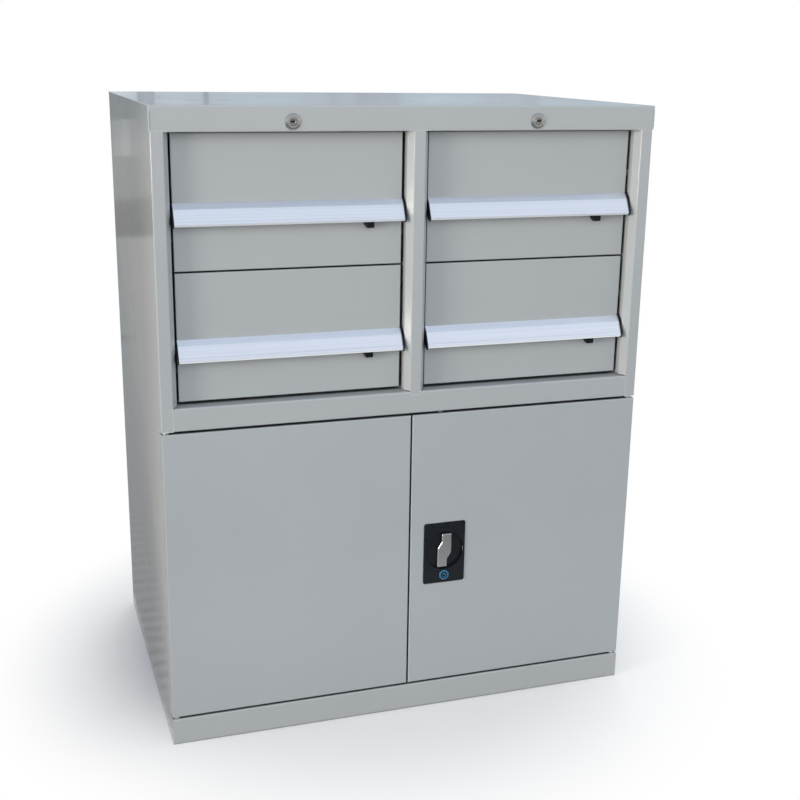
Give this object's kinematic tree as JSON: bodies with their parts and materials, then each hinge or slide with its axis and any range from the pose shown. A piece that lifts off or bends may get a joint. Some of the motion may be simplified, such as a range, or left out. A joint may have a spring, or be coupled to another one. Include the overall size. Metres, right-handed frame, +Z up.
{
  "type": "tool cabinet",
  "caption": "Steel tool cabinet with two columns of handled drawers above a cupboard with lockable double doors.",
  "frame": {"origin": "centre of the cabinet's underside, on the floor", "axes": "+Z up, +X to the right seen from the front, +Y from the front to the back, so the drawers and doors face -Y"},
  "size_m": [0.9, 0.6328, 1.135],
  "materials": {
    "body_paint": "light grey enamel, semi-gloss",
    "drawer_paint": "light grey enamel, semi-gloss",
    "handle_aluminium": "anodised, satin",
    "black_plastic": "moulded, fine matt",
    "chrome": "polished plating",
    "zinc_steel": "bright zinc plating",
    "lever_silver": "silver die-casting, satin",
    "key_blue": "blue moulding, glossy"
  },
  "bodies": {
    "cabinet": {"side_panel_left": "body_paint", "side_panel_right": "body_paint", "top_panel": "body_paint", "back_panel": "body_paint", "front_rail": "body_paint", "centre_partition": "body_paint", "drawer_deck": "body_paint", "cupboard_floor": "body_paint", "plinth": "body_paint", "slide_uprights": "zinc_steel", "slide_outer_members": "zinc_steel", "drawer_lock_housings": "chrome", "lock_bar_guides": "zinc_steel", "hinge_pivots": "zinc_steel", "shelf": "body_paint", "shelf_clips": "zinc_steel", "door_catches": "black_plastic"},
    "door_left": {"door_left": "body_paint", "door_stiffener_left": "body_paint"},
    "door_right": {"door_right": "body_paint", "door_stiffener_right": "body_paint", "door_lock_plate": "black_plastic", "door_lock_case": "black_plastic", "door_lock_rod_guides": "black_plastic"},
    "lever": {"door_lever": "lever_silver"},
    "key_cylinder": {"door_key_cylinder": "key_blue"},
    "rod_upper": {"door_lock_rod_upper": "zinc_steel"},
    "rod_lower": {"door_lock_rod_lower": "zinc_steel"},
    "drawer_lower_left": {"drawer_box_lower_left": "drawer_paint", "drawer_front_lower_left": "drawer_paint", "handle_lower_left": "handle_aluminium", "handle_caps_lower_left": "black_plastic", "slide_inner_lower_left": "zinc_steel"},
    "slide_lower_left": {"slide_middle_lower_left": "zinc_steel"},
    "latch_lower_left": {"latch_lower_left": "black_plastic"},
    "drawer_upper_left": {"drawer_box_upper_left": "drawer_paint", "drawer_front_upper_left": "drawer_paint", "handle_upper_left": "handle_aluminium", "handle_caps_upper_left": "black_plastic", "slide_inner_upper_left": "zinc_steel"},
    "slide_upper_left": {"slide_middle_upper_left": "zinc_steel"},
    "latch_upper_left": {"latch_upper_left": "black_plastic"},
    "drawer_lower_right": {"drawer_box_lower_right": "drawer_paint", "drawer_front_lower_right": "drawer_paint", "handle_lower_right": "handle_aluminium", "handle_caps_lower_right": "black_plastic", "slide_inner_lower_right": "zinc_steel"},
    "slide_lower_right": {"slide_middle_lower_right": "zinc_steel"},
    "latch_lower_right": {"latch_lower_right": "black_plastic"},
    "drawer_upper_right": {"drawer_box_upper_right": "drawer_paint", "drawer_front_upper_right": "drawer_paint", "handle_upper_right": "handle_aluminium", "handle_caps_upper_right": "black_plastic", "slide_inner_upper_right": "zinc_steel"},
    "slide_upper_right": {"slide_middle_upper_right": "zinc_steel"},
    "latch_upper_right": {"latch_upper_right": "black_plastic"},
    "drawer_lock_plug_left": {"drawer_lock_plug_left": "chrome"},
    "lock_bar_left": {"lock_bar_left": "zinc_steel"},
    "drawer_lock_plug_right": {"drawer_lock_plug_right": "chrome"},
    "lock_bar_right": {"lock_bar_right": "zinc_steel"}
  },
  "joints": [
    {"name": "lower_left_drawer_slide", "type": "slide", "parent": "cabinet", "child": "drawer_lower_left", "axis": [0, -1, 0], "range_m": [0, 0.48]},
    {"name": "lower_left_slide_extend", "type": "slide", "parent": "cabinet", "child": "slide_lower_left", "axis": [0, -1, 0], "range_m": [0, 0.24]},
    {"name": "lower_left_latch_press", "type": "slide", "parent": "drawer_lower_left", "child": "latch_lower_left", "axis": [1, 0, 0], "range_m": [0, 0.007]},
    {"name": "upper_left_drawer_slide", "type": "slide", "parent": "cabinet", "child": "drawer_upper_left", "axis": [0, -1, 0], "range_m": [0, 0.48]},
    {"name": "upper_left_slide_extend", "type": "slide", "parent": "cabinet", "child": "slide_upper_left", "axis": [0, -1, 0], "range_m": [0, 0.24]},
    {"name": "upper_left_latch_press", "type": "slide", "parent": "drawer_upper_left", "child": "latch_upper_left", "axis": [1, 0, 0], "range_m": [0, 0.007]},
    {"name": "lower_right_drawer_slide", "type": "slide", "parent": "cabinet", "child": "drawer_lower_right", "axis": [0, -1, 0], "range_m": [0, 0.48]},
    {"name": "lower_right_slide_extend", "type": "slide", "parent": "cabinet", "child": "slide_lower_right", "axis": [0, -1, 0], "range_m": [0, 0.24]},
    {"name": "lower_right_latch_press", "type": "slide", "parent": "drawer_lower_right", "child": "latch_lower_right", "axis": [1, 0, 0], "range_m": [0, 0.007]},
    {"name": "upper_right_drawer_slide", "type": "slide", "parent": "cabinet", "child": "drawer_upper_right", "axis": [0, -1, 0], "range_m": [0, 0.48]},
    {"name": "upper_right_slide_extend", "type": "slide", "parent": "cabinet", "child": "slide_upper_right", "axis": [0, -1, 0], "range_m": [0, 0.24]},
    {"name": "upper_right_latch_press", "type": "slide", "parent": "drawer_upper_right", "child": "latch_upper_right", "axis": [1, 0, 0], "range_m": [0, 0.007]},
    {"name": "left_drawer_lock_turn", "type": "hinge", "parent": "cabinet", "child": "drawer_lock_plug_left", "pos_m": [-0.2163, -0.3136, 1.1085], "axis": [0, 1, 0], "range_deg": [0, 90]},
    {"name": "left_lock_bar_slide", "type": "slide", "parent": "cabinet", "child": "lock_bar_left", "axis": [1, 0, 0], "range_m": [0, 0.00848]},
    {"name": "right_drawer_lock_turn", "type": "hinge", "parent": "cabinet", "child": "drawer_lock_plug_right", "pos_m": [0.2213, -0.3136, 1.1085], "axis": [0, -1, 0], "range_deg": [0, 90]},
    {"name": "right_lock_bar_slide", "type": "slide", "parent": "cabinet", "child": "lock_bar_right", "axis": [-1, 0, 0], "range_m": [0, 0.00848]},
    {"name": "left_door_swing", "type": "hinge", "parent": "cabinet", "child": "door_left", "pos_m": [-0.44, -0.3034, 0.0552], "axis": [0, 0, -1], "range_deg": [0, 105]},
    {"name": "right_door_swing", "type": "hinge", "parent": "cabinet", "child": "door_right", "pos_m": [0.44, -0.3034, 0.0552], "axis": [0, 0, 1], "range_deg": [0, 105]},
    {"name": "lever_turn", "type": "hinge", "parent": "door_right", "child": "lever", "pos_m": [0.0677, -0.3124, 0.322], "axis": [0, 1, 0], "range_deg": [0, 90]},
    {"name": "upper_rod_slide", "type": "slide", "parent": "door_right", "child": "rod_upper", "axis": [0, 0, 1], "range_m": [0, 0.0156]},
    {"name": "lower_rod_slide", "type": "slide", "parent": "door_right", "child": "rod_lower", "axis": [0, 0, -1], "range_m": [0, 0.0156]},
    {"name": "key_turn", "type": "hinge", "parent": "door_right", "child": "key_cylinder", "pos_m": [0.0677, -0.3124, 0.2724], "axis": [0, 1, 0], "range_deg": [0, 90]}
  ],
  "couplings": [
    {"joint": "lower_left_slide_extend", "follows": "lower_left_drawer_slide", "ratio": 0.5},
    {"joint": "upper_left_slide_extend", "follows": "upper_left_drawer_slide", "ratio": 0.5},
    {"joint": "lower_right_slide_extend", "follows": "lower_right_drawer_slide", "ratio": 0.5},
    {"joint": "upper_right_slide_extend", "follows": "upper_right_drawer_slide", "ratio": 0.5},
    {"joint": "left_drawer_lock_turn", "follows": "left_lock_bar_slide", "rad_per_m": 185.13},
    {"joint": "right_drawer_lock_turn", "follows": "right_lock_bar_slide", "rad_per_m": 185.13},
    {"joint": "upper_rod_slide", "follows": "lever_turn", "m_per_rad": 0.0099035},
    {"joint": "lower_rod_slide", "follows": "lever_turn", "m_per_rad": 0.0099035}
  ]
}
